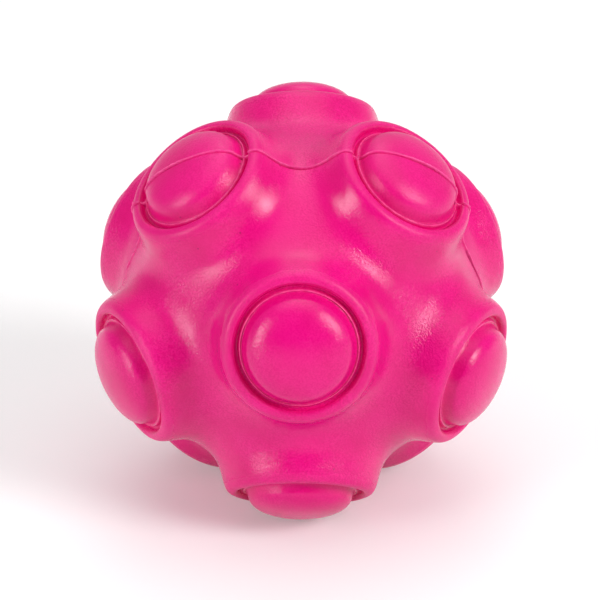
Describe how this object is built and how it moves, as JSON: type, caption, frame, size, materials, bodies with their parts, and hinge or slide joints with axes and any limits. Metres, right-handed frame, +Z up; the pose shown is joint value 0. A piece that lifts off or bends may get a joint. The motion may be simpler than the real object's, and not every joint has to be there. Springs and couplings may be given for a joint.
{
  "type": "rubber dog ball",
  "caption": "Hollow rubber dog ball with round bosses, a soft domed nub in each boss that presses in, a moulding seam and a reed squeaker inside.",
  "frame": {"origin": "centre of the ball", "axes": "+Z up along a three-fold axis of the bosses, so that the ball stands on the rims of its three lowest bosses; front towards -Y, +X to the right seen from the front"},
  "size_m": [0.0698, 0.0754, 0.068],
  "materials": {
    "pink_rubber": "satin moulded",
    "squeaker_plastic": "moulded",
    "reed_film": "thin film"
  },
  "bodies": {
    "shell": {"front_shell": "pink_rubber", "rear_shell": "pink_rubber"},
    "front_nub": {"nub_front": "pink_rubber"},
    "far_right_nub": {"nub_far_right": "pink_rubber"},
    "far_left_nub": {"nub_far_left": "pink_rubber"},
    "top_nub": {"nub_top": "pink_rubber"},
    "upper_right_nub": {"nub_upper_right": "pink_rubber"},
    "upper_left_nub": {"nub_upper_left": "pink_rubber"},
    "rear_nub": {"nub_rear": "pink_rubber", "squeaker_housing": "squeaker_plastic", "squeaker_cap": "squeaker_plastic", "squeaker_reed_block": "squeaker_plastic", "squeaker_reed_wedge": "squeaker_plastic"},
    "right_nub": {"nub_right": "pink_rubber"},
    "left_nub": {"nub_left": "pink_rubber"},
    "bottom_nub": {"nub_bottom": "pink_rubber"},
    "low_right_nub": {"nub_low_right": "pink_rubber"},
    "low_left_nub": {"nub_low_left": "pink_rubber"},
    "reed": {"squeaker_reed": "reed_film"}
  },
  "joints": [
    {"name": "front_nub_press", "type": "slide", "parent": "shell", "child": "front_nub", "axis": [0, 0.9822, -0.1876], "range_m": [0, 0.003], "stiffness_N_per_m": 4000},
    {"name": "far_right_nub_press", "type": "slide", "parent": "shell", "child": "far_right_nub", "axis": [-0.8507, -0.4911, -0.1876], "range_m": [0, 0.003], "stiffness_N_per_m": 4000},
    {"name": "far_left_nub_press", "type": "slide", "parent": "shell", "child": "far_left_nub", "axis": [0.8507, -0.4911, -0.1876], "range_m": [0, 0.003], "stiffness_N_per_m": 4000},
    {"name": "top_nub_press", "type": "slide", "parent": "shell", "child": "top_nub", "axis": [0, -0.6071, -0.7947], "range_m": [0, 0.003], "stiffness_N_per_m": 4000},
    {"name": "upper_right_nub_press", "type": "slide", "parent": "shell", "child": "upper_right_nub", "axis": [-0.5257, 0.3035, -0.7947], "range_m": [0, 0.003], "stiffness_N_per_m": 4000},
    {"name": "upper_left_nub_press", "type": "slide", "parent": "shell", "child": "upper_left_nub", "axis": [0.5257, 0.3035, -0.7947], "range_m": [0, 0.003], "stiffness_N_per_m": 4000},
    {"name": "rear_nub_press", "type": "slide", "parent": "shell", "child": "rear_nub", "axis": [0, -0.9822, 0.1876], "range_m": [0, 0.003], "stiffness_N_per_m": 4000},
    {"name": "right_nub_press", "type": "slide", "parent": "shell", "child": "right_nub", "axis": [-0.8507, 0.4911, 0.1876], "range_m": [0, 0.003], "stiffness_N_per_m": 4000},
    {"name": "left_nub_press", "type": "slide", "parent": "shell", "child": "left_nub", "axis": [0.8507, 0.4911, 0.1876], "range_m": [0, 0.003], "stiffness_N_per_m": 4000},
    {"name": "bottom_nub_press", "type": "slide", "parent": "shell", "child": "bottom_nub", "axis": [0, 0.6071, 0.7947], "range_m": [0, 0.003], "stiffness_N_per_m": 4000},
    {"name": "low_right_nub_press", "type": "slide", "parent": "shell", "child": "low_right_nub", "axis": [-0.5257, -0.3035, 0.7947], "range_m": [0, 0.003], "stiffness_N_per_m": 4000},
    {"name": "low_left_nub_press", "type": "slide", "parent": "shell", "child": "low_left_nub", "axis": [0.5257, -0.3035, 0.7947], "range_m": [0, 0.003], "stiffness_N_per_m": 4000},
    {"name": "reed_swing", "type": "hinge", "parent": "rear_nub", "child": "reed", "pos_m": [0, 0.0248, -0.00474], "axis": [-0.9511, -0.058, -0.3035], "range_deg": [-2, 4], "stiffness_Nm_per_rad": 0.002}
  ]
}
